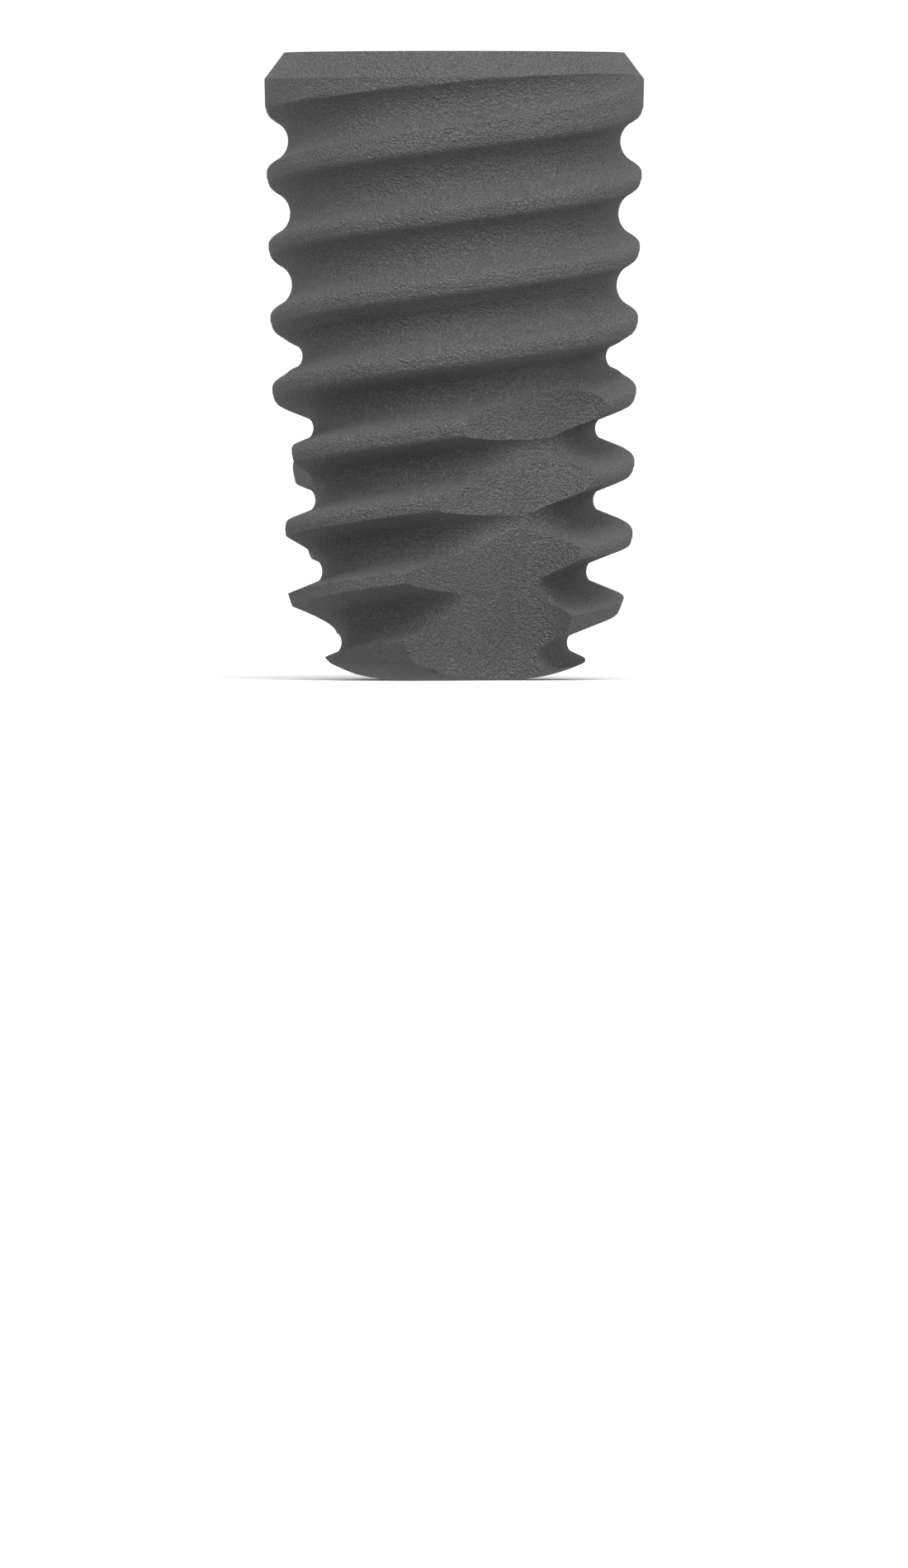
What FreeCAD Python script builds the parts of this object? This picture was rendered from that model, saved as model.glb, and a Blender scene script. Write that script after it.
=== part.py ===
"""Root-form dental implant, 4.8 mm wide and 8 mm long: one turned titanium piece.

Frame: the implant stands on its flat apex, +Z runs up its axis to the platform, and the origin
is the centre of the apex. -Y is the front and +X the right. Lengths are in millimetres.
"""
import FreeCAD
import Part
import Sketcher
import math
import os
import re

from FreeCAD import Vector

# Driving dimensions. A z is a height above the apex, an angle or azimuth is in degrees, and an
# azimuth is counted from the front towards the right.
SIZES = {
    # outer form
    "overall_length": 8.0,
    "collar_radius": 2.422,
    "platform_radius": 2.17,
    "bevel_height": 0.338,
    "taper_angle": 1.45,
    # apex: flat, dome, edge and ogive
    "apex_flat_radius": 0.69,
    "dome_radius": 2.27,
    "apex_edge_radius": 1.655,
    "ogive_top_z": 1.72,
    # thread of two starts; its shallow groove has its full depth below groove_top_z
    "thread_starts": 2,
    "thread_pitch": 0.9142,
    "groove_top_z": 6.859,
    "groove_depth": 0.284,
    "groove_flank_angle": 30.3,
    "crest_round": 0.136,
    "crest_land": 0.042,
    "runout_angle": 18.0,
    # deep groove, which follows the core of the lower half
    "deep_flank_angle": 20.4,
    "deep_root_round": 0.227,
    "deep_start_pitches": 4,
    "core_full_radius": 1.797,
    "core_runin_angle": 8.6,
    "core_mid_radius": 1.773,
    "core_low_radius": 1.684,
    "core_apex_radius": 1.437,
    # cutting flutes: an L-shaped section at five heights
    "flutes": 3,
    "flute_round": 0.55,
    "flute_top_z": 3.79,
    "flute_top_azimuth": 37.3,
    "flute_top_face": 2.043,
    "flute_top_corner": 0.423,
    "flute_top_opening": 140.0,
    "flute_upper_z": 2.9,
    "flute_upper_azimuth": 37.8,
    "flute_upper_face": 1.832,
    "flute_upper_corner": 0.332,
    "flute_upper_opening": 123.5,
    "flute_middle_z": 1.9,
    "flute_middle_azimuth": 31.1,
    "flute_middle_face": 1.739,
    "flute_middle_corner": 0.233,
    "flute_middle_opening": 124.6,
    "flute_lower_z": 0.9,
    "flute_lower_azimuth": 31.2,
    "flute_lower_face": 1.355,
    "flute_lower_corner": 0.502,
    "flute_lower_opening": 93.3,
    "flute_end_z": -0.1,
    "flute_end_azimuth": 31.4,
    "flute_end_face": 1.005,
    "flute_end_corner": 0.461,
    "flute_end_opening": 92.2,
    # inner connection: lead-in cone, hexagon and blind hole for the abutment screw
    "leadin_radius": 1.75,
    "leadin_angle": 45.0,
    "hexagon_width": 2.5,
    "hexagon_depth": 1.7,
    "screw_hole_radius": 0.8,
    "screw_hole_depth": 4.6,
    "drill_point_angle": 118.0,
}
FLUTE_HEIGHTS = ("top", "upper", "middle", "lower", "end")

# Wall left round the hexagon's corners at the foot of the lead-in cone
SEAT_MARGIN = 0.03
# Stock past the apex and past the platform, which the thread cutters run out into
STOCK_BELOW = 1.0
STOCK_ABOVE = 1.2
# Clearance of a cutter outside the stock, how far its edge stands off a face it follows, and how far
# the flutes' and the deep groove's cutters reach
CLEAR = 0.3
LIFT = 0.003
FLUTE_CLEAR = 0.5
DEEP_CUTTER_REACH = 0.62
# Pitches that a thread cutter climbs above its full depth until it is out of the stock
RUNOUT_PITCHES = 1.5
RUNIN_PITCHES = 2.5
# A coordinate below this lies on the sketch's axis
ZERO = 1e-9

doc = FreeCAD.newDocument("dental_implant")
sheet = doc.addObject("Spreadsheet::Sheet", "sizes")
for row, (alias, number) in enumerate(SIZES.items(), start=1):
    sheet.set(f"A{row}", alias)
    sheet.set(f"B{row}", str(number))
    sheet.setAlias(f"B{row}", alias)
doc.recompute()

body = doc.addObject("PartDesign::Body", "implant_body")
body.Label = "implant_body"
ORIGIN = {feature.Role: feature for feature in body.Origin.OriginFeatures}


def over_sheet(formula):
    """The formula with each size named by its cell in the sheet."""
    return re.sub(r"[a-z][a-z_]*", lambda word: "sizes." + word[0] if word[0] in SIZES else word[0], formula)


def value(formula):
    """Number that a formula over the sizes gives."""
    result = sheet.evalExpression(over_sheet(formula))
    return float(getattr(result, "Value", result))


def bind(owner, **formulas):
    """Bind properties of an object to formulas; a dot in a property's path is written __."""
    for path, formula in formulas.items():
        owner.setExpression(path.replace("__", "."), over_sheet(formula))


def new_sketch(name, plane):
    """Empty sketch on one of the body's origin planes."""
    sketch = body.newObject("Sketcher::SketchObject", name)
    sketch.AttachmentSupport = (ORIGIN[plane], [""])
    sketch.MapMode = "FlatFace"
    return sketch


def arc_between(start, end, radius, side):
    """Arc of less than half a turn; side is 1 with its centre left of the way from start to end."""
    half = (end - start) * 0.5
    left = Vector(-half.y, half.x, 0).normalize()
    centre = start + half + left * side * math.sqrt(radius**2 - half.Length**2)
    middle = centre + (start + half - centre).normalize() * radius
    return Part.Arc(start, middle, end)


def draw(sketch, corners, arcs=None):
    """Closed outline through the corners, each pinned by its two formulas.

    The edges are straight but for arcs, which maps an arc's first corner to the formula of its
    radius and the side of its centre.
    """
    arcs = arcs or {}
    names = list(corners)
    places = {name: Vector(value(across), value(up), 0) for name, (across, up) in corners.items()}
    ends = list(zip(names, names[1:] + names[:1]))
    for first, second in ends:
        if first in arcs:
            radius, side = arcs[first]
            edge = arc_between(places[first], places[second], value(radius), side)
        else:
            edge = Part.LineSegment(places[first], places[second])
        sketch.addGeometry(edge, False)

    def end_at(index, name):
        """Number of the end of an edge that lies at a corner."""
        return min((1, 2), key=lambda end: sketch.getPoint(index, end).distanceToPoint(places[name]))

    def pin(kind, index, name, formula, axis):
        """Distance of a corner from an axis of the sketch."""
        if abs(value(formula)) < ZERO:
            sketch.addConstraint(Sketcher.Constraint("PointOnObject", index, end_at(index, name), axis))
            return
        datum = Sketcher.Constraint(kind, -1, 1, index, end_at(index, name), value(formula))
        number = sketch.addConstraint(datum)
        sketch.setExpression(f"Constraints[{number}]", over_sheet(formula))

    for index, (first, second) in enumerate(ends):
        before = (index - 1) % len(ends)
        joint = Sketcher.Constraint("Coincident", before, end_at(before, first), index, end_at(index, first))
        sketch.addConstraint(joint)
        across, up = corners[first]
        pin("DistanceX", index, first, across, -2)
        pin("DistanceY", index, first, up, -1)
        if first in arcs:
            radius = arcs[first][0]
            number = sketch.addConstraint(Sketcher.Constraint("Radius", index, value(radius)))
            sketch.setExpression(f"Constraints[{number}]", over_sheet(radius))


def check(feature, removed):
    """Recompute, and stop where a feature failed or changed the volume the wrong way."""
    before = check.volume
    doc.recompute()
    shape = feature.Shape
    if "Invalid" in feature.State or "Error" in feature.State or shape.isNull() or not shape.isValid():
        raise RuntimeError(feature.Name + " failed: " + str(feature.State))
    check.volume = shape.Volume
    if removed and not check.volume < before:
        raise RuntimeError(feature.Name + " removes nothing")
    print(feature.Name, round(check.volume, 3), flush=True)


check.volume = 0.0

# Conical stock with the taper of the thread's crests
CONE = "(collar_radius - (overall_length - bevel_height - {z}) * tan(taper_angle))"


def cone(z):
    """Formula of the crest radius at the height that a formula gives."""
    return CONE.format(z="(" + z + ")")


STOCK_TOP = f"(overall_length + {STOCK_ABOVE})"


def revolve(kind, name, plane, corners, arcs=None):
    """Turned feature: an outline revolved about the body's axis."""
    sketch = new_sketch(name + "_outline", plane)
    draw(sketch, corners, arcs)
    feature = body.newObject("PartDesign::" + kind, name)
    feature.Profile = sketch
    feature.ReferenceAxis = (sketch, ["V_Axis"])
    feature.Angle = 360
    check(feature, kind == "Groove")
    return feature


revolve("Revolution", "stock", "YZ_Plane", {
    "foot": ("0", f"-{STOCK_BELOW}"),
    "foot_rim": (cone(f"-{STOCK_BELOW}"), f"-{STOCK_BELOW}"),
    "head_rim": (cone(STOCK_TOP), STOCK_TOP),
    "head": ("0", STOCK_TOP),
})


def thread_cut(name, sketch, height, angle, upward):
    """Helical cut with the lead of the thread, then the same for the other starts."""
    cut = body.newObject("PartDesign::SubtractiveHelix", name)
    cut.Profile = sketch
    cut.ReferenceAxis = (ORIGIN["Z_Axis"], [""])
    cut.Mode = "pitch-height-angle"
    cut.LeftHanded = False
    cut.Reversed = not upward
    bind(cut, Pitch="thread_starts * thread_pitch", Height=height, Angle=angle)
    check(cut, True)
    starts = body.newObject("PartDesign::PolarPattern", name + "_starts")
    starts.Originals = [cut]
    starts.Axis = (ORIGIN["Z_Axis"], [""])
    starts.Angle = 360
    bind(starts, Occurrences="thread_starts")
    body.Tip = starts
    check(starts, True)


# Shallow groove: rounded root, straight flanks and rounded crests
CREST_HALF = "((thread_pitch - crest_land) / 2)"
CREST_RUN = "(crest_round * tan((90 - groove_flank_angle) / 2))"
GROOVE_FULL = f"(groove_depth + {LIFT})"
ROOT_HALF = f"({CREST_HALF} - {CREST_RUN} - {GROOVE_FULL} * tan(groove_flank_angle))"
ROOT_ROUND = f"({ROOT_HALF} / tan((90 - groove_flank_angle) / 2))"
ROOT_DEPTH = f"({ROOT_ROUND} * (1 - sin(groove_flank_angle)))"
ROOT_EDGE = f"({ROOT_ROUND} * cos(groove_flank_angle))"
CREST_DEPTH = f"({GROOVE_FULL} - crest_round * (1 - sin(groove_flank_angle)))"
CREST_EDGE = f"({CREST_HALF} - crest_round * cos(groove_flank_angle))"


def shallow_groove(name):
    """Section of the shallow groove, its root at the sketch's origin."""
    sketch = new_sketch(name, "XZ_Plane")
    bind(sketch, AttachmentOffset__Base__x=cone("groove_top_z") + " - groove_depth",
         AttachmentOffset__Base__y="groove_top_z")
    outside = f"{GROOVE_FULL} + {CLEAR}"
    draw(sketch, {
        "root_low": (ROOT_DEPTH, "-" + ROOT_EDGE),
        "crest_low": (CREST_DEPTH, "-" + CREST_EDGE),
        "land_low": (GROOVE_FULL, "-" + CREST_HALF),
        "out_low": (outside, "-" + CREST_HALF),
        "out_high": (outside, CREST_HALF),
        "land_high": (GROOVE_FULL, CREST_HALF),
        "crest_high": (CREST_DEPTH, CREST_EDGE),
        "root_high": (ROOT_DEPTH, ROOT_EDGE),
    }, {
        "crest_low": ("crest_round", -1),
        "land_high": ("crest_round", -1),
        "root_high": (ROOT_ROUND, 1),
    })
    return sketch


thread_cut("shallow_thread", shallow_groove("shallow_section"),
           "groove_top_z + thread_pitch / 2", "-taper_angle", False)
thread_cut("thread_runout", shallow_groove("runout_section"),
           f"{RUNOUT_PITCHES} * thread_pitch", "runout_angle", True)


# Deep groove: steeper flanks, its root on the core, which tapers faster towards the apex
DEEP_HALF = "(deep_root_round * tan((90 - deep_flank_angle) / 2))"
# Quarter of a turn, counted in pitches
QUARTER = "(thread_starts / 4)"


def deep_groove(name, plane, core, z):
    """Section of the deep groove, its root at a radius and a height."""
    sketch = new_sketch(name, plane)
    bind(sketch, AttachmentOffset__Base__x=core, AttachmentOffset__Base__y=z)
    root_depth = "deep_root_round * (1 - sin(deep_flank_angle))"
    root_edge = "deep_root_round * cos(deep_flank_angle)"
    mouth_half = f"({DEEP_HALF} + {DEEP_CUTTER_REACH} * tan(deep_flank_angle))"
    draw(sketch, {
        "root_low": (root_depth, "-" + root_edge),
        "mouth_low": (str(DEEP_CUTTER_REACH), "-" + mouth_half),
        "mouth_high": (str(DEEP_CUTTER_REACH), mouth_half),
        "root_high": (root_depth, root_edge),
    }, {"root_high": ("deep_root_round", 1)})
    return sketch


def core_z(count):
    """Height of one of the deep groove's core radii."""
    return f"groove_top_z - (deep_start_pitches + {count}) * thread_pitch"


thread_cut("deep_runin",
           deep_groove("deep_runin_section", "XZ_Plane", "core_full_radius", core_z(0)),
           f"{RUNIN_PITCHES} * thread_pitch", "core_runin_angle", True)
thread_cut("deep_thread_1",
           deep_groove("deep_section_1", "XZ_Plane", "core_full_radius", core_z(0)),
           f"(1 + {QUARTER}) * thread_pitch",
           "-atan((core_full_radius - core_mid_radius) / thread_pitch)", False)
# Each steeper length starts a quarter turn early and ends one late, inside its neighbours' grooves
for number, core, next_core, pitches in (
        (2, "core_mid_radius", "core_low_radius", f"1 + 2 * {QUARTER}"),
        (3, "core_low_radius", "core_apex_radius", f"2 + {QUARTER}")):
    early_core = f"{core} + ({core} - {next_core}) * {QUARTER}"
    early_z = core_z(number - 1) + f" + {QUARTER} * thread_pitch"
    thread_cut(f"deep_thread_{number}",
               deep_groove(f"deep_section_{number}", "YZ_Plane", early_core, early_z),
               f"({pitches}) * thread_pitch",
               f"-atan(({core} - {next_core}) / thread_pitch)", False)

# Apex: flat, dome and an ogive that leaves the crests upright
OUTSIDE = cone(STOCK_TOP) + f" + {CLEAR}"
BELOW = f"-{STOCK_BELOW} - {CLEAR}"
OGIVE_TOP = "(" + cone("ogive_top_z") + f" + {LIFT})"
EDGE_Z = "(dome_radius - sqrt(dome_radius ^ 2 - (apex_edge_radius - apex_flat_radius) ^ 2))"
OGIVE_WIDE = f"({OGIVE_TOP} - apex_edge_radius)"
OGIVE_TALL = f"(ogive_top_z - {EDGE_Z})"
revolve("Groove", "apex", "YZ_Plane", {
    "axis_low": ("0", BELOW),
    "outside_low": (OUTSIDE, BELOW),
    "outside_high": (OUTSIDE, "ogive_top_z"),
    "ogive_top": (OGIVE_TOP, "ogive_top_z"),
    "edge": ("apex_edge_radius", EDGE_Z),
    "flat_rim": ("apex_flat_radius", "0"),
    "flat_centre": ("0", "0"),
}, {
    "ogive_top": (f"({OGIVE_WIDE} ^ 2 + {OGIVE_TALL} ^ 2) / (2 * {OGIVE_WIDE})", -1),
    "edge": ("dome_radius", -1),
})

# Platform and its bevel
BEVEL_SLOPE = "(bevel_height / (collar_radius - platform_radius))"
ABOVE = STOCK_TOP + f" + {CLEAR}"
revolve("Groove", "platform", "YZ_Plane", {
    "centre": ("0", "overall_length"),
    "rim": ("platform_radius", "overall_length"),
    "bevel_out": (f"collar_radius + {CLEAR}", f"overall_length - bevel_height - {CLEAR} * {BEVEL_SLOPE}"),
    "outside_high": (f"collar_radius + {CLEAR}", ABOVE),
    "axis_high": ("0", ABOVE),
})


# Cutting flutes: each next one sits a part turn round and lower, where the thread's profile repeats
FLUTE_OUT = f"(collar_radius + {FLUTE_CLEAR})"
FLUTE_DROP = "mod({index} * thread_starts * thread_pitch / flutes; thread_pitch)"


def turned(across, up, angle):
    """Formulas of a point turned by an angle about the sketch's origin."""
    return (f"({across}) * cos({angle}) - ({up}) * sin({angle})",
            f"({across}) * sin({angle}) + ({up}) * cos({angle})")


def flute_section(index, height):
    """Section of one flute: a long face, a rounded corner and a cutting side."""
    sketch = new_sketch(f"flute_{index + 1}_{height}", "XY_Plane")
    bind(sketch, AttachmentOffset__Base__z=f"flute_{height}_z - " + FLUTE_DROP.format(index=index))
    face = f"flute_{height}_face"
    corner = f"flute_{height}_corner"
    opening = f"flute_{height}_opening"
    run = f"(flute_round / tan({opening} / 2))"
    places = {
        "face_end": (face, "-" + FLUTE_OUT),
        "face_round": (face, f"{corner} - {run}"),
        "side_round": (f"{face} + {run} * sin({opening})", f"{corner} - {run} * cos({opening})"),
        "side_end": (FLUTE_OUT, f"{corner} - ({FLUTE_OUT} - {face}) / tan({opening})"),
        "outside": (FLUTE_OUT, "-" + FLUTE_OUT),
    }
    angle = f"(flute_{height}_azimuth - 90 - {index} * 360 / flutes)"
    draw(sketch, {name: turned(*place, angle) for name, place in places.items()},
         {"face_round": ("flute_round", -1)})
    return sketch


for index in range(SIZES["flutes"]):
    sections = [flute_section(index, height) for height in FLUTE_HEIGHTS]
    flute = body.newObject("PartDesign::SubtractiveLoft", f"flute_{index + 1}")
    flute.Profile = sections[0]
    flute.Sections = sections[1:]
    check(flute, True)

# Inner connection: lead-in cone, seat of the hexagon and blind screw hole, all turned
HEX_CORNER = "(hexagon_width / 2 / cos(30))"
SEAT_RADIUS = f"({HEX_CORNER} + {SEAT_MARGIN})"
SEAT_Z = f"(overall_length - (leadin_radius - {SEAT_RADIUS}) / tan(leadin_angle))"
HOLE_FOOT = "(overall_length - screw_hole_depth)"
revolve("Groove", "screw_hole", "YZ_Plane", {
    "drill_tip": ("0", f"{HOLE_FOOT} - screw_hole_radius / tan(drill_point_angle / 2)"),
    "hole_foot": ("screw_hole_radius", HOLE_FOOT),
    "hole_mouth": ("screw_hole_radius", SEAT_Z),
    "seat": (SEAT_RADIUS, SEAT_Z),
    "leadin_out": (f"leadin_radius + {CLEAR} * tan(leadin_angle)", f"overall_length + {CLEAR}"),
    "axis_high": ("0", f"overall_length + {CLEAR}"),
})
hexagon = new_sketch("hexagon_outline", "XY_Plane")
bind(hexagon, AttachmentOffset__Base__z="overall_length")
draw(hexagon, {f"corner_{turn}": turned(HEX_CORNER, "0", str(turn)) for turn in range(0, 360, 60)})
socket = body.newObject("PartDesign::Pocket", "hexagon_socket")
socket.Profile = hexagon
bind(socket, Length="hexagon_depth")
check(socket, True)

solid = body.Shape
if len(solid.Solids) != 1:
    raise RuntimeError("the implant is not one solid")
failed = [item.Name for item in doc.Objects if "Invalid" in item.State or "Error" in item.State]
if failed:
    raise RuntimeError("failed objects: " + ", ".join(failed))
os.makedirs("parts", exist_ok=True)
solid.exportStep("parts/" + body.Label + ".step")
box = solid.BoundBox
print("faces", len(solid.Faces), "volume", round(solid.Volume, 3), "box", box)
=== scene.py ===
"""Root-form dental implant: turned titanium with a two-start bone thread and cutting flutes.

The implant stands on its apex at the origin, +Z up its axis, and -Y is the front. Its mesh is
made and cut in millimetres, and turned into metres when it is done.
"""

import bmesh
import bpy
import math
import numpy as np
from mathutils import Matrix, Vector


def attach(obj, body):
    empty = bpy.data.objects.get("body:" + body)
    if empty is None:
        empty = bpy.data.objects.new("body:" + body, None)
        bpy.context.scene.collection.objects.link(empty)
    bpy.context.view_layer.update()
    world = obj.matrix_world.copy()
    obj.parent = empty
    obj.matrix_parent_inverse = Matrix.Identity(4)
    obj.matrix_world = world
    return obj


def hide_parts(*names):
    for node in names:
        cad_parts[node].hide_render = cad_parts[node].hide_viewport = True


MM = 0.001
NODE = "implant_body"

# Outer form; all lengths are in millimetres
LENGTH = 8.0
COLLAR_RADIUS = 2.422
PLATFORM_RADIUS = 2.17
BEVEL_HEIGHT = 0.338
TAPER = math.radians(1.45)
# Apex
APEX_FLAT_RADIUS = 0.69
DOME_RADIUS = 2.27
APEX_EDGE_RADIUS = 1.655
OGIVE_TOP_Z = 1.72
# Bone thread: two starts, a shallow groove and a deeper one that follows the core. The core's radii
# are a pitch apart, from DEEP_START_PITCHES under the thread's top, and go on inward as the last two do
STARTS = 2
PITCH = 0.9142
LEAD = STARTS * PITCH
GROOVE_TOP_Z = 6.859
GROOVE_DEPTH = 0.284
GROOVE_FLANK = math.radians(30.3)
CREST_ROUND = 0.136
CREST_LAND = 0.042
RUNOUT = math.radians(18.0)
DEEP_FLANK = math.radians(20.4)
DEEP_ROOT_ROUND = 0.227
DEEP_START_PITCHES = 4
DEEP_END_PITCHES = 2
DEEP_RUNIN = math.radians(8.6)
CORE_RADII = (1.797, 1.773, 1.684, 1.437)
# Cutting flutes: height, azimuth of the long face, its distance from the axis, place of the
# corner along it and the angle between the two faces, both angles in degrees
FLUTES = 3
FLUTE_ROUND = 0.55
FLUTE_SECTIONS = (
    (3.79, 37.3, 2.043, 0.423, 140.0),
    (2.9, 37.8, 1.832, 0.332, 123.5),
    (1.9, 31.1, 1.739, 0.233, 124.6),
    (0.9, 31.2, 1.355, 0.502, 93.3),
    (-0.1, 31.4, 1.005, 0.461, 92.2),
)
# Inner connection
LEADIN_RADIUS = 1.75
LEADIN_ANGLE = math.radians(45.0)
HEXAGON_WIDTH = 2.5
HEXAGON_CORNER = HEXAGON_WIDTH / 2 / math.cos(math.radians(30))
HEXAGON_DEPTH = 1.7
SCREW_HOLE_RADIUS = 0.8
SCREW_HOLE_DEPTH = 4.6
DRILL_POINT = math.radians(118.0)
# Fine thread of the screw hole: its grooves are pointed waves SCREW_WAVE times their depth, sunk by
# SCREW_SUNK of it and flattened at both ends; they begin this far above the hole's foot and grow to
# full depth over this height
SCREW_PITCH = 0.4
SCREW_GROOVE = 0.17
SCREW_WAVE = 1.35
SCREW_SUNK = 0.15
SCREW_START = 0.3
SCREW_GROWTH = 0.2

# How far the uncut stock goes past both ends, and how far cutters stand clear of the implant
STOCK_PAST = 0.3
CLEAR = 0.3
FLUTE_CLEAR = 0.5
# How far the flutes' cutters go on below their last section, and the screw hole's into the socket
FLUTE_PAST = 0.1
SCREW_OVERLAP = 0.2
# Gap between the ogive and the crests where they meet, and ledge outside the hexagon's corners
OGIVE_GAP = 0.003
SEAT_LEDGE = 0.03

# Mesh density
ROUND_STEPS = 256
ROWS_PER_PITCH = 32
DOME_STEPS = 24
OGIVE_STEPS = 40
FLUTE_LEVELS = 64
CORNER_STEPS = 14
LEADIN_STEPS = 128
SCREW_STEPS = 64
SCREW_ROWS_PER_PITCH = 12
# Points this near a level cut count as on it
ON_CUT = 1e-6
# Steeper edges than this stay crisp
SHARP_ANGLE = math.radians(32.0)

# Etched grain: its sizes, share of the pits in it, middle range of its noise, depth of its relief, and
# painted shade in its hollows and painted light on its crests, as factors on its colour
GRAIN_SIZES = {"Wrinkle size": 0.036, "Pit size": 0.018, "Cloud size": 1.2}
PIT_SHARE = 0.3
NOISE_RANGE = (0.3, 0.7)
GRAIN_DEPTH = 0.13
GRAIN_PAINTED_SHADES = (0.84, 1.16)
# Titanium: darkest and palest grey, least and most roughness, and how metallic it looks
DARK_GREY = (0.107, 0.108, 0.107, 1)
PALE_GREY = (0.136, 0.1375, 0.1365, 1)
ROUGHNESS = (0.56, 0.7)
METALLIC = 0.25
# Sockets of a mix: its share, then the first, second and mixed number or colour
SHARE = 0
FIRST_NUMBER, SECOND_NUMBER, MIXED_NUMBER = 2, 3, 0
FIRST_COLOUR, SECOND_COLOUR, MIXED_COLOUR = 6, 7, 2

# Light: height above the horizon and turn to the right of the glow and the lamp, strengths of the
# surround, how sharply its glow falls off, the white that the camera sees, and the lamp in watts
LIGHT_HEIGHT = math.radians(47.0)
LIGHT_TURN = math.radians(10.0)
GLOW_EVEN = 0.68
GLOW_FRONT = 5.0
GLOW_FALLOFF = 8.0
BACKDROP = 1.1
LAMP_DISTANCE = 500.0
LAMP_SIZE = 300.0
LAMP_POWER = 0.75
# Floor: half its width, its white and its roughness
FLOOR_HALF = 6000.0
FLOOR_WHITE = 0.9
FLOOR_ROUGHNESS = 0.9

# The photograph, a level view: its size, scale, the axis's column and the row of the implant's middle,
# in pixels
FRAME_WIDTH, FRAME_HEIGHT = 1100, 1900
PIXELS_PER_MM = 95.0
AXIS_COLUMN = 550.3
MIDDLE_ROW = 443.7
# Camera: it sees from its distance divided by CLIP_SPAN to its distance times that
CAMERA_DISTANCE = 380.0
SENSOR_WIDTH = 36.0
CLIP_SPAN = 20


def cone(z):
    """Radius of the thread's crests at a height."""
    return COLLAR_RADIUS - (LENGTH - BEVEL_HEIGHT - z) * math.tan(TAPER)


def groove_rise(off, root_round, flank):
    """Rise of a groove's wall above its root at a distance from its middle."""
    edge = root_round * math.cos(flank)
    round_part = root_round - np.sqrt(np.maximum(root_round**2 - off**2, 0))
    straight = root_round * (1 - math.sin(flank)) + (off - edge) / math.tan(flank)
    return np.where(off < edge, round_part, straight)


def shallow_radius(off, middle):
    """Radius of the shallow groove with rounded crests, about its middle's height."""
    crest_half = (PITCH - CREST_LAND) / 2
    lean = math.tan((math.pi / 2 - GROOVE_FLANK) / 2)
    root_half = crest_half - CREST_ROUND * lean - GROOVE_DEPTH * math.tan(GROOVE_FLANK)
    rise = groove_rise(off, root_half / lean, GROOVE_FLANK)
    crest_edge = crest_half - CREST_ROUND * math.cos(GROOVE_FLANK)
    inward = np.clip(crest_half - off, 0, CREST_ROUND)
    crest = GROOVE_DEPTH - CREST_ROUND + np.sqrt(CREST_ROUND**2 - inward**2)
    rise = np.where(off > crest_edge, crest, rise)
    rise = np.where(off > crest_half, PITCH, rise)
    full = np.minimum(middle, GROOVE_TOP_Z)
    root = cone(full) - GROOVE_DEPTH + (middle - full) * math.tan(RUNOUT)
    return root + rise


def deep_radius(off, middle):
    """Radius of the deep groove, about its middle's height."""
    start = GROOVE_TOP_Z - DEEP_START_PITCHES * PITCH
    heights = [start - step * PITCH for step in range(len(CORE_RADII))]
    radii = list(CORE_RADII)
    heights.append(heights[-1] - DEEP_END_PITCHES * PITCH)
    radii.append(radii[-1] + DEEP_END_PITCHES * (radii[-1] - radii[-2]))
    heights.insert(0, LENGTH + PITCH)
    radii.insert(0, radii[0] + (heights[0] - start) * math.tan(DEEP_RUNIN))
    core = np.interp(middle, heights[::-1], radii[::-1])
    return core + groove_rise(off, DEEP_ROOT_ROUND, DEEP_FLANK)


def thread_radius(angle, z):
    """Radius of the threaded body at an angle and a height."""
    helix = GROOVE_TOP_Z + LEAD * angle / math.tau
    nearest = np.round((helix - z) / PITCH)
    radius = cone(z)
    for neighbour in (-1, 0, 1):
        middle = helix - (nearest + neighbour) * PITCH
        off = np.abs(z - middle)
        radius = np.minimum(radius, shallow_radius(off, middle))
        radius = np.minimum(radius, deep_radius(off, middle))
    return radius


def mesh_object(name, points, faces):
    """Object made of points in millimetres."""
    mesh = bpy.data.meshes.new(name)
    mesh.from_pydata(points, [], faces)
    mesh.update()
    piece = bpy.data.objects.new(name, mesh)
    bpy.context.scene.collection.objects.link(piece)
    return piece


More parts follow.
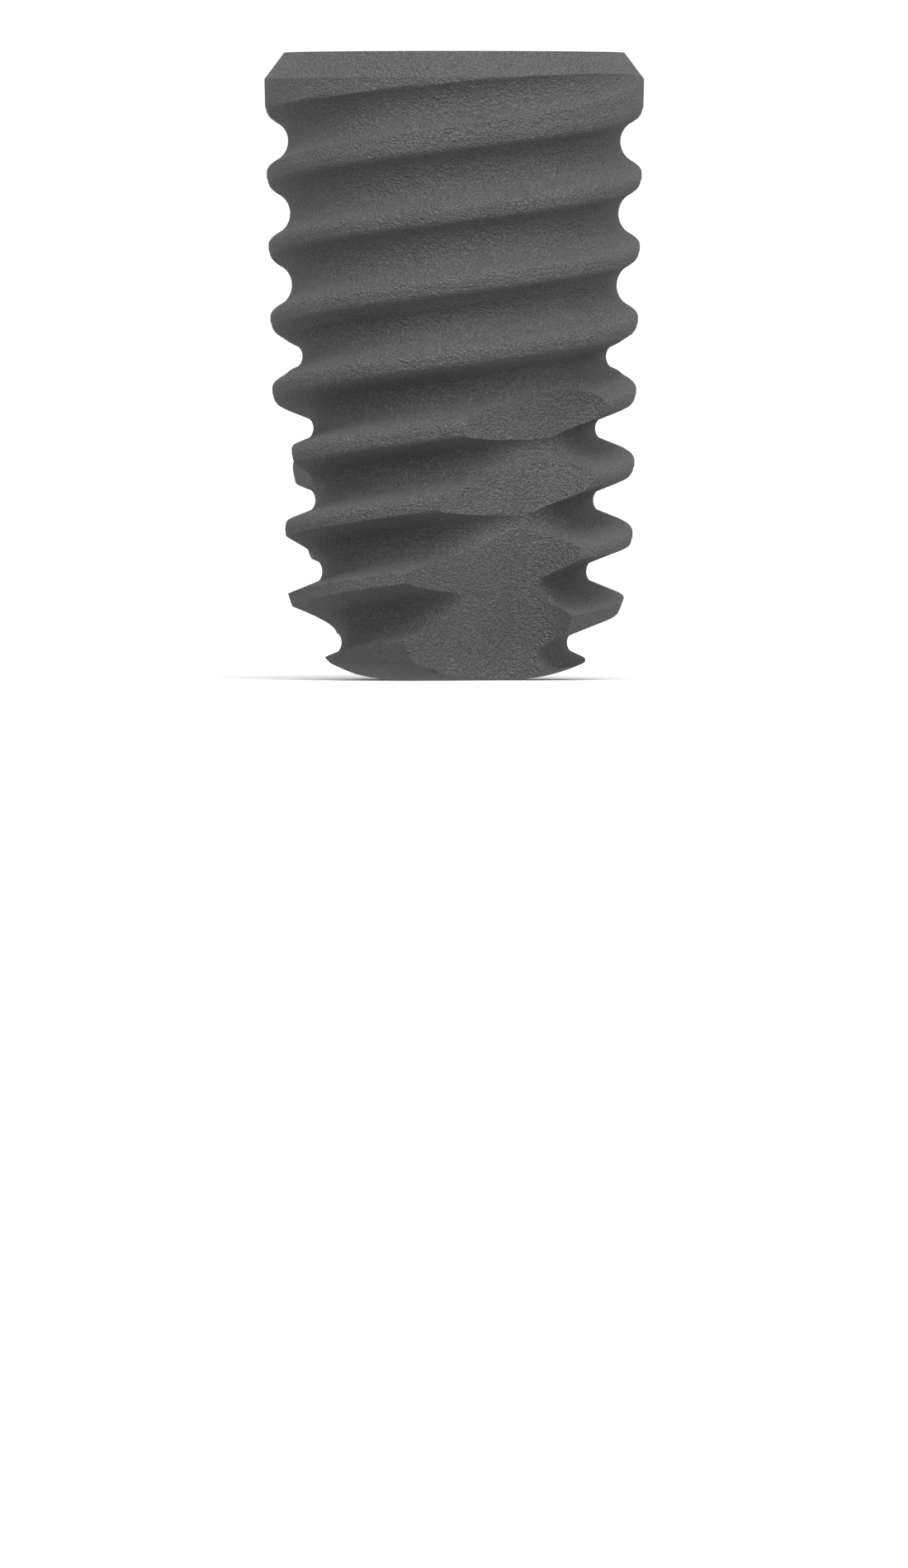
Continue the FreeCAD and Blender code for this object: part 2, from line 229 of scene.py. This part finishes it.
def threaded_stock():
    """Closed threaded bar, its rows laid along the helix, cut level past both ends."""
    rows = round((LENGTH + LEAD + 4 * STOCK_PAST) / PITCH * ROWS_PER_PITCH)
    per_lead = STARTS * ROWS_PER_PITCH
    angles = np.arange(ROUND_STEPS) * math.tau / ROUND_STEPS
    starts = -2 * STOCK_PAST - LEAD + np.arange(rows + per_lead) * PITCH / ROWS_PER_PITCH
    turn, start = np.meshgrid(angles, starts)
    z = start + LEAD * turn / math.tau
    radius = thread_radius(turn, z)
    grid = np.stack([radius * np.cos(turn), radius * np.sin(turn), z], -1)
    count = len(starts)
    faces = []
    for row in range(count - 1):
        for column in range(ROUND_STEPS):
            this, above = row * ROUND_STEPS + column, (row + 1) * ROUND_STEPS + column
            if column < ROUND_STEPS - 1:
                faces.append((this, this + 1, above + 1, above))
            elif row + per_lead + 1 < count:
                seam = (row + per_lead) * ROUND_STEPS
                faces.append((this, seam, seam + ROUND_STEPS, above))
    piece = mesh_object("threaded_stock", grid.reshape(-1, 3).tolist(), faces)
    shape = bmesh.new()
    shape.from_mesh(piece.data)
    for height, up in ((-STOCK_PAST, -1), (LENGTH + STOCK_PAST, 1)):
        geometry = shape.verts[:] + shape.edges[:] + shape.faces[:]
        bmesh.ops.bisect_plane(shape, geom=geometry, dist=ON_CUT, plane_co=(0, 0, height),
                               plane_no=(0, 0, up), clear_outer=True)
    open_edges = [edge for edge in shape.edges if edge.is_boundary]
    bmesh.ops.holes_fill(shape, edges=open_edges, sides=0)
    bmesh.ops.recalc_face_normals(shape, faces=shape.faces[:])
    shape.to_mesh(piece.data)
    shape.free()
    return piece


def arc_points(centre, radius, first, last, steps):
    """Points along an arc, its angles in radians."""
    return [(centre[0] + radius * math.cos(angle), centre[1] + radius * math.sin(angle))
            for angle in np.linspace(first, last, steps)]


def ring_faces(rings, steps):
    """Faces of a closed solid of stacked rings, its first and last points being its two tips."""
    last = 1 + (rings - 1) * steps
    tip = 1 + rings * steps
    faces = []
    for step in range(steps):
        after = (step + 1) % steps
        faces.append((0, 1 + after, 1 + step))
        for ring in range(rings - 1):
            low, high = 1 + ring * steps, 1 + (ring + 1) * steps
            faces.append((low + step, low + after, high + after, high + step))
        faces.append((last + step, last + after, tip))
    return faces


def turned_solid(name, outline, steps=ROUND_STEPS):
    """Solid of revolution of an outline that begins and ends on the axis."""
    turns = [math.tau * (step + 0.5) / steps for step in range(steps)]
    points = [(0, 0, outline[0][1])]
    for radius, z in outline[1:-1]:
        points += [(radius * math.cos(turn), radius * math.sin(turn), z) for turn in turns]
    points.append((0, 0, outline[-1][1]))
    return mesh_object(name, points, ring_faces(len(outline) - 2, steps))


def envelope():
    """Solid that the apex, the collar's bevel and the platform are turned to."""
    edge_z = DOME_RADIUS - math.sqrt(DOME_RADIUS**2 - (APEX_EDGE_RADIUS - APEX_FLAT_RADIUS)**2)
    dome_end = math.asin((APEX_EDGE_RADIUS - APEX_FLAT_RADIUS) / DOME_RADIUS)
    dome = arc_points((APEX_FLAT_RADIUS, DOME_RADIUS), DOME_RADIUS,
                      -math.pi / 2, dome_end - math.pi / 2, DOME_STEPS)
    wide = cone(OGIVE_TOP_Z) + OGIVE_GAP - APEX_EDGE_RADIUS
    tall = OGIVE_TOP_Z - edge_z
    ogive_radius = (wide**2 + tall**2) / (2 * wide)
    ogive_centre = (APEX_EDGE_RADIUS + wide - ogive_radius, OGIVE_TOP_Z)
    ogive = arc_points(ogive_centre, ogive_radius, -math.asin(tall / ogive_radius), 0, OGIVE_STEPS)
    slope = BEVEL_HEIGHT / (COLLAR_RADIUS - PLATFORM_RADIUS)
    outline = [(0, 0)] + dome + ogive[1:]
    outline.append((COLLAR_RADIUS + CLEAR, OGIVE_TOP_Z + CLEAR))
    outline.append((COLLAR_RADIUS + CLEAR, LENGTH - BEVEL_HEIGHT - CLEAR * slope))
    outline += [(PLATFORM_RADIUS, LENGTH), (0, LENGTH)]
    return turned_solid("envelope", outline)


def flute_cutter(index):
    """Cutter of one flute: an L-shaped section that turns and moves in towards the apex."""
    heights, *traits = np.array(FLUTE_SECTIONS).T
    fits = [np.polyfit(heights, trait, len(heights) - 1) for trait in traits]
    drop = (index * LEAD / FLUTES) % PITCH
    out = COLLAR_RADIUS + FLUTE_CLEAR
    levels = np.linspace(heights[0], heights[-1] - FLUTE_PAST, FLUTE_LEVELS)
    points = []
    for level in levels:
        azimuth, face, corner, opening = (np.polyval(fit, level) for fit in fits)
        lean = math.radians(opening)
        run = FLUTE_ROUND / math.tan(lean / 2)
        centre = (face + FLUTE_ROUND, corner - run)
        section = [(face, -out)]
        section += arc_points(centre, FLUTE_ROUND, math.pi, lean, CORNER_STEPS)
        section += [(out, corner - (out - face) / math.tan(lean)), (out, -out)]
        turn = math.radians(azimuth - 90 - index * 360 / FLUTES)
        points += [(across * math.cos(turn) - along * math.sin(turn),
                    across * math.sin(turn) + along * math.cos(turn), level - drop)
                   for across, along in section]
    size = len(section)
    faces = [tuple(range(size)), tuple(range(len(points) - 1, len(points) - 1 - size, -1))]
    for level in range(len(levels) - 1):
        for corner in range(size):
            low, high = level * size, (level + 1) * size
            after = (corner + 1) % size
            faces.append((low + corner, high + corner, high + after, low + after))
    piece = mesh_object(f"flute_cutter_{index + 1}", points, faces)
    face_outward(piece)
    return piece


def face_outward(piece):
    """Turn every face of a closed mesh outward."""
    shape = bmesh.new()
    shape.from_mesh(piece.data)
    bmesh.ops.recalc_face_normals(shape, faces=shape.faces[:])
    shape.to_mesh(piece.data)
    shape.free()


def hexagon_cutter():
    """Hexagonal prism of the socket."""
    turns = [math.radians(turn) for turn in range(0, 360, 60)]
    points = []
    for z in (LENGTH - HEXAGON_DEPTH, LENGTH + CLEAR):
        points += [(HEXAGON_CORNER * math.cos(turn), HEXAGON_CORNER * math.sin(turn), z) for turn in turns]
    faces = [(5, 4, 3, 2, 1, 0), (6, 7, 8, 9, 10, 11)]
    faces += [(side, (side + 1) % 6, 6 + (side + 1) % 6, 6 + side) for side in range(6)]
    return mesh_object("hexagon_cutter", points, faces)


def leadin_cutter():
    """Cone that leads the abutment in to the hexagon."""
    seat_radius = HEXAGON_CORNER + SEAT_LEDGE
    seat_z = LENGTH - (LEADIN_RADIUS - seat_radius) / math.tan(LEADIN_ANGLE)
    mouth_radius = LEADIN_RADIUS + CLEAR * math.tan(LEADIN_ANGLE)
    outline = [(0, seat_z), (seat_radius, seat_z), (mouth_radius, LENGTH + CLEAR), (0, LENGTH + CLEAR)]
    return turned_solid("leadin_cutter", outline, LEADIN_STEPS)


def screw_radius(height, turn):
    """Radius of the tapped hole at a height above its foot and a share of a turn."""
    phase = (height / SCREW_PITCH - turn) % 1
    wave = min(max(SCREW_WAVE * (1 - abs(2 * phase - 1)) - SCREW_SUNK, 0), 1)
    growth = min(max((height - SCREW_START) / SCREW_GROWTH, 0), 1)
    return SCREW_HOLE_RADIUS + SCREW_GROOVE * wave * growth


def screw_cutter():
    """Blind hole with a fine thread, as the screw that fills it."""
    foot = LENGTH - SCREW_HOLE_DEPTH
    top = LENGTH - HEXAGON_DEPTH + SCREW_OVERLAP
    tip = foot - SCREW_HOLE_RADIUS / math.tan(DRILL_POINT / 2)
    levels = np.arange(foot + SCREW_START, top, SCREW_PITCH / SCREW_ROWS_PER_PITCH)
    heights = [foot] + list(levels)
    points = [(0, 0, tip)]
    for z in heights:
        for step in range(SCREW_STEPS):
            turn = math.tau * step / SCREW_STEPS
            radius = screw_radius(z - foot, step / SCREW_STEPS)
            points.append((radius * math.cos(turn), radius * math.sin(turn), z))
    points.append((0, 0, heights[-1]))
    return mesh_object("screw_cutter", points, ring_faces(len(heights), SCREW_STEPS))


def cut(piece, tool, operation="DIFFERENCE"):
    """Boolean of a piece with a tool, which is then removed."""
    step = piece.modifiers.new("cut", "BOOLEAN")
    step.object = tool
    step.operation = operation
    step.solver = "EXACT"
    depsgraph = bpy.context.evaluated_depsgraph_get()
    result = bpy.data.meshes.new_from_object(piece.evaluated_get(depsgraph))
    piece.modifiers.clear()
    piece.data = result
    bpy.data.objects.remove(tool)


def implant():
    """The whole implant as one mesh."""
    piece = threaded_stock()
    cut(piece, envelope(), "INTERSECT")
    for index in range(FLUTES):
        cut(piece, flute_cutter(index))
    cut(piece, leadin_cutter())
    cut(piece, hexagon_cutter())
    cut(piece, screw_cutter())
    piece.data.transform(Matrix.Scale(MM, 4))
    piece.name = "etched_implant"
    piece.data.name = "etched_implant"
    for face in piece.data.polygons:
        face.use_smooth = True
    piece.data.set_sharp_from_angle(angle=SHARP_ANGLE)
    return piece


def grain_group():
    """Node group of the etched grain: fine wrinkles and broad cloudiness, as height and masks."""
    group = bpy.data.node_groups.new("etched_grain", "ShaderNodeTree")
    sockets = group.interface
    for name, size in GRAIN_SIZES.items():
        socket = sockets.new_socket(name, in_out="INPUT", socket_type="NodeSocketFloat")
        socket.default_value = size
    for name in ("Height", "Pits", "Cloud"):
        sockets.new_socket(name, in_out="OUTPUT", socket_type="NodeSocketFloat")
    nodes, links = group.nodes, group.links
    given = nodes.new("NodeGroupInput")
    result = nodes.new("NodeGroupOutput")
    place = nodes.new("ShaderNodeTexCoord")
    in_mm = nodes.new("ShaderNodeVectorMath")
    in_mm.operation = "SCALE"
    in_mm.inputs["Scale"].default_value = 1 / MM
    links.new(place.outputs["Object"], in_mm.inputs[0])

    def noise(size, detail, rough, warp):
        """Noise whose grains have a size in millimetres."""
        scale = nodes.new("ShaderNodeMath")
        scale.operation = "DIVIDE"
        scale.inputs[0].default_value = 1.0
        links.new(given.outputs[size], scale.inputs[1])
        texture = nodes.new("ShaderNodeTexNoise")
        texture.inputs["Detail"].default_value = detail
        texture.inputs["Roughness"].default_value = rough
        texture.inputs["Distortion"].default_value = warp
        links.new(in_mm.outputs[0], texture.inputs["Vector"])
        links.new(scale.outputs[0], texture.inputs["Scale"])
        return texture.outputs["Fac"]

    wrinkles = noise("Wrinkle size", detail=2.0, rough=0.6, warp=0.4)
    pits = noise("Pit size", detail=1.0, rough=0.5, warp=0.0)
    cloud = noise("Cloud size", detail=2.0, rough=0.5, warp=0.4)
    both = nodes.new("ShaderNodeMix")
    both.data_type = "FLOAT"
    both.inputs[SHARE].default_value = PIT_SHARE
    links.new(wrinkles, both.inputs[FIRST_NUMBER])
    links.new(pits, both.inputs[SECOND_NUMBER])
    links.new(both.outputs[MIXED_NUMBER], result.inputs["Height"])
    links.new(pits, result.inputs["Pits"])
    links.new(cloud, result.inputs["Cloud"])
    return group


def spread(nodes, links, noise, limits):
    """Spread the middle range of a noise over two limits."""
    ramp = nodes.new("ShaderNodeMapRange")
    ramp.inputs["From Min"].default_value, ramp.inputs["From Max"].default_value = NOISE_RANGE
    ramp.inputs["To Min"].default_value, ramp.inputs["To Max"].default_value = limits
    links.new(noise, ramp.inputs["Value"])
    return ramp.outputs["Result"]


def etched_titanium():
    """Dark grey blasted and acid-etched titanium, with the shade and light of its grain painted into its
    colour.
    """
    material = bpy.data.materials.new("etched_titanium")
    material.use_nodes = True
    nodes, links = material.node_tree.nodes, material.node_tree.links
    shader = nodes["Principled BSDF"]
    shader.inputs["Metallic"].default_value = METALLIC
    grain = nodes.new("ShaderNodeGroup")
    grain.node_tree = grain_group()
    tone = nodes.new("ShaderNodeMix")
    tone.data_type = "RGBA"
    tone.inputs[FIRST_COLOUR].default_value = DARK_GREY
    tone.inputs[SECOND_COLOUR].default_value = PALE_GREY
    links.new(grain.outputs["Cloud"], tone.inputs[SHARE])
    # Painted shade and light: the colour darkens in the grain's hollows and lightens on its crests
    painted_grain_shade = nodes.new("ShaderNodeVectorMath")
    painted_grain_shade.operation = "SCALE"
    links.new(tone.outputs[MIXED_COLOUR], painted_grain_shade.inputs[0])
    links.new(spread(nodes, links, grain.outputs["Height"], GRAIN_PAINTED_SHADES), painted_grain_shade.inputs["Scale"])
    links.new(painted_grain_shade.outputs[0], shader.inputs["Base Color"])
    links.new(spread(nodes, links, grain.outputs["Pits"], ROUGHNESS), shader.inputs["Roughness"])
    bump = nodes.new("ShaderNodeBump")
    bump.inputs["Strength"].default_value = 1.0
    bump.inputs["Distance"].default_value = GRAIN_DEPTH * MM
    links.new(grain.outputs["Height"], bump.inputs["Height"])
    links.new(bump.outputs["Normal"], shader.inputs["Normal"])
    return material


def pale_floor():
    """Even white of the floor."""
    material = bpy.data.materials.new("pale_floor")
    material.use_nodes = True
    shader = material.node_tree.nodes["Principled BSDF"]
    shader.inputs["Base Color"].default_value = (FLOOR_WHITE, FLOOR_WHITE, FLOOR_WHITE, 1)
    shader.inputs["Roughness"].default_value = FLOOR_ROUGHNESS
    return material


def floor():
    """Plain pale floor under the implant, which it neither lights nor shades."""
    signs = ((-1, -1), (1, -1), (1, 1), (-1, 1))
    corners = [(across * FLOOR_HALF, along * FLOOR_HALF, 0) for across, along in signs]
    piece = mesh_object("floor", corners, [(0, 1, 2, 3)])
    piece.data.materials.append(pale_floor())
    piece.data.transform(Matrix.Scale(MM, 4))
    piece.visible_diffuse = False
    piece.visible_glossy = False
    piece.visible_shadow = False


def light_aim():
    """Direction from the implant to the lamp and the middle of the glow."""
    flat = math.cos(LIGHT_HEIGHT)
    return Vector((flat * math.sin(LIGHT_TURN), -flat * math.cos(LIGHT_TURN), math.sin(LIGHT_HEIGHT)))


def soft_lamp():
    """Square area lamp in the middle of the glow."""
    lamp = bpy.data.lights.new("front_lamp", "AREA")
    lamp.size = LAMP_SIZE * MM
    lamp.energy = LAMP_POWER
    view = bpy.data.objects.new("front_lamp", lamp)
    aim = light_aim()
    view.location = aim * LAMP_DISTANCE * MM
    view.rotation_euler = (-aim).to_track_quat("-Z", "Y").to_euler()
    bpy.context.scene.collection.objects.link(view)


def surround():
    """White surround: even light from all sides, and a glow from above in front, a little to the right."""
    world = bpy.data.worlds.new("white_surround")
    world.use_nodes = True
    nodes, links = world.node_tree.nodes, world.node_tree.links
    background = nodes["Background"]
    background.inputs["Color"].default_value = (1, 1, 1, 1)
    direction = nodes.new("ShaderNodeTexCoord")
    facing = nodes.new("ShaderNodeVectorMath")
    facing.operation = "DOT_PRODUCT"
    facing.inputs[1].default_value = light_aim()
    links.new(direction.outputs["Generated"], facing.inputs[0])
    front = nodes.new("ShaderNodeMath")
    front.operation = "MAXIMUM"
    front.inputs[1].default_value = 0
    links.new(facing.outputs["Value"], front.inputs[0])
    lobe = nodes.new("ShaderNodeMath")
    lobe.operation = "POWER"
    lobe.inputs[1].default_value = GLOW_FALLOFF
    links.new(front.outputs[0], lobe.inputs[0])
    glow = nodes.new("ShaderNodeMath")
    glow.operation = "MULTIPLY_ADD"
    glow.inputs[1].default_value = GLOW_FRONT
    glow.inputs[2].default_value = GLOW_EVEN
    links.new(lobe.outputs[0], glow.inputs[0])
    path = nodes.new("ShaderNodeLightPath")
    strength = nodes.new("ShaderNodeMix")
    strength.data_type = "FLOAT"
    strength.inputs[SECOND_NUMBER].default_value = BACKDROP
    links.new(path.outputs["Is Camera Ray"], strength.inputs[SHARE])
    links.new(glow.outputs[0], strength.inputs[FIRST_NUMBER])
    links.new(strength.outputs[MIXED_NUMBER], background.inputs["Strength"])
    bpy.context.scene.world = world
    bpy.context.scene.view_settings.view_transform = "Standard"


def camera():
    """Long lens level with the implant's middle; the shift frames it as in the photograph."""
    frame_mm = FRAME_HEIGHT / PIXELS_PER_MM
    lens = bpy.data.cameras.new("camera")
    lens.sensor_width = SENSOR_WIDTH
    lens.lens = SENSOR_WIDTH * CAMERA_DISTANCE / frame_mm
    lens.shift_x = (FRAME_WIDTH / 2 - AXIS_COLUMN) / FRAME_HEIGHT
    lens.shift_y = -(FRAME_HEIGHT / 2 - MIDDLE_ROW) / FRAME_HEIGHT
    lens.clip_start = CAMERA_DISTANCE * MM / CLIP_SPAN
    lens.clip_end = CAMERA_DISTANCE * MM * CLIP_SPAN
    view = bpy.data.objects.new("camera", lens)
    view.location = (0, -CAMERA_DISTANCE * MM, LENGTH / 2 * MM)
    view.rotation_euler = (math.pi / 2, 0, 0)
    bpy.context.scene.collection.objects.link(view)
    bpy.context.scene.camera = view


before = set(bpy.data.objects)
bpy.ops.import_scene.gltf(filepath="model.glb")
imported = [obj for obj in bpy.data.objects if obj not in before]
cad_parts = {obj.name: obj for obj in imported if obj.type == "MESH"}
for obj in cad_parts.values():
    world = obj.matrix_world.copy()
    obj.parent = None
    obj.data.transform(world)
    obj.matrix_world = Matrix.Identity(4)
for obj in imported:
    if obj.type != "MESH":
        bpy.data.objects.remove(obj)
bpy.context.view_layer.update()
camera()
surround()
soft_lamp()
floor()
body = implant()
body.data.materials.clear()
body.data.materials.append(etched_titanium())
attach(body, "root")
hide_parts(NODE)
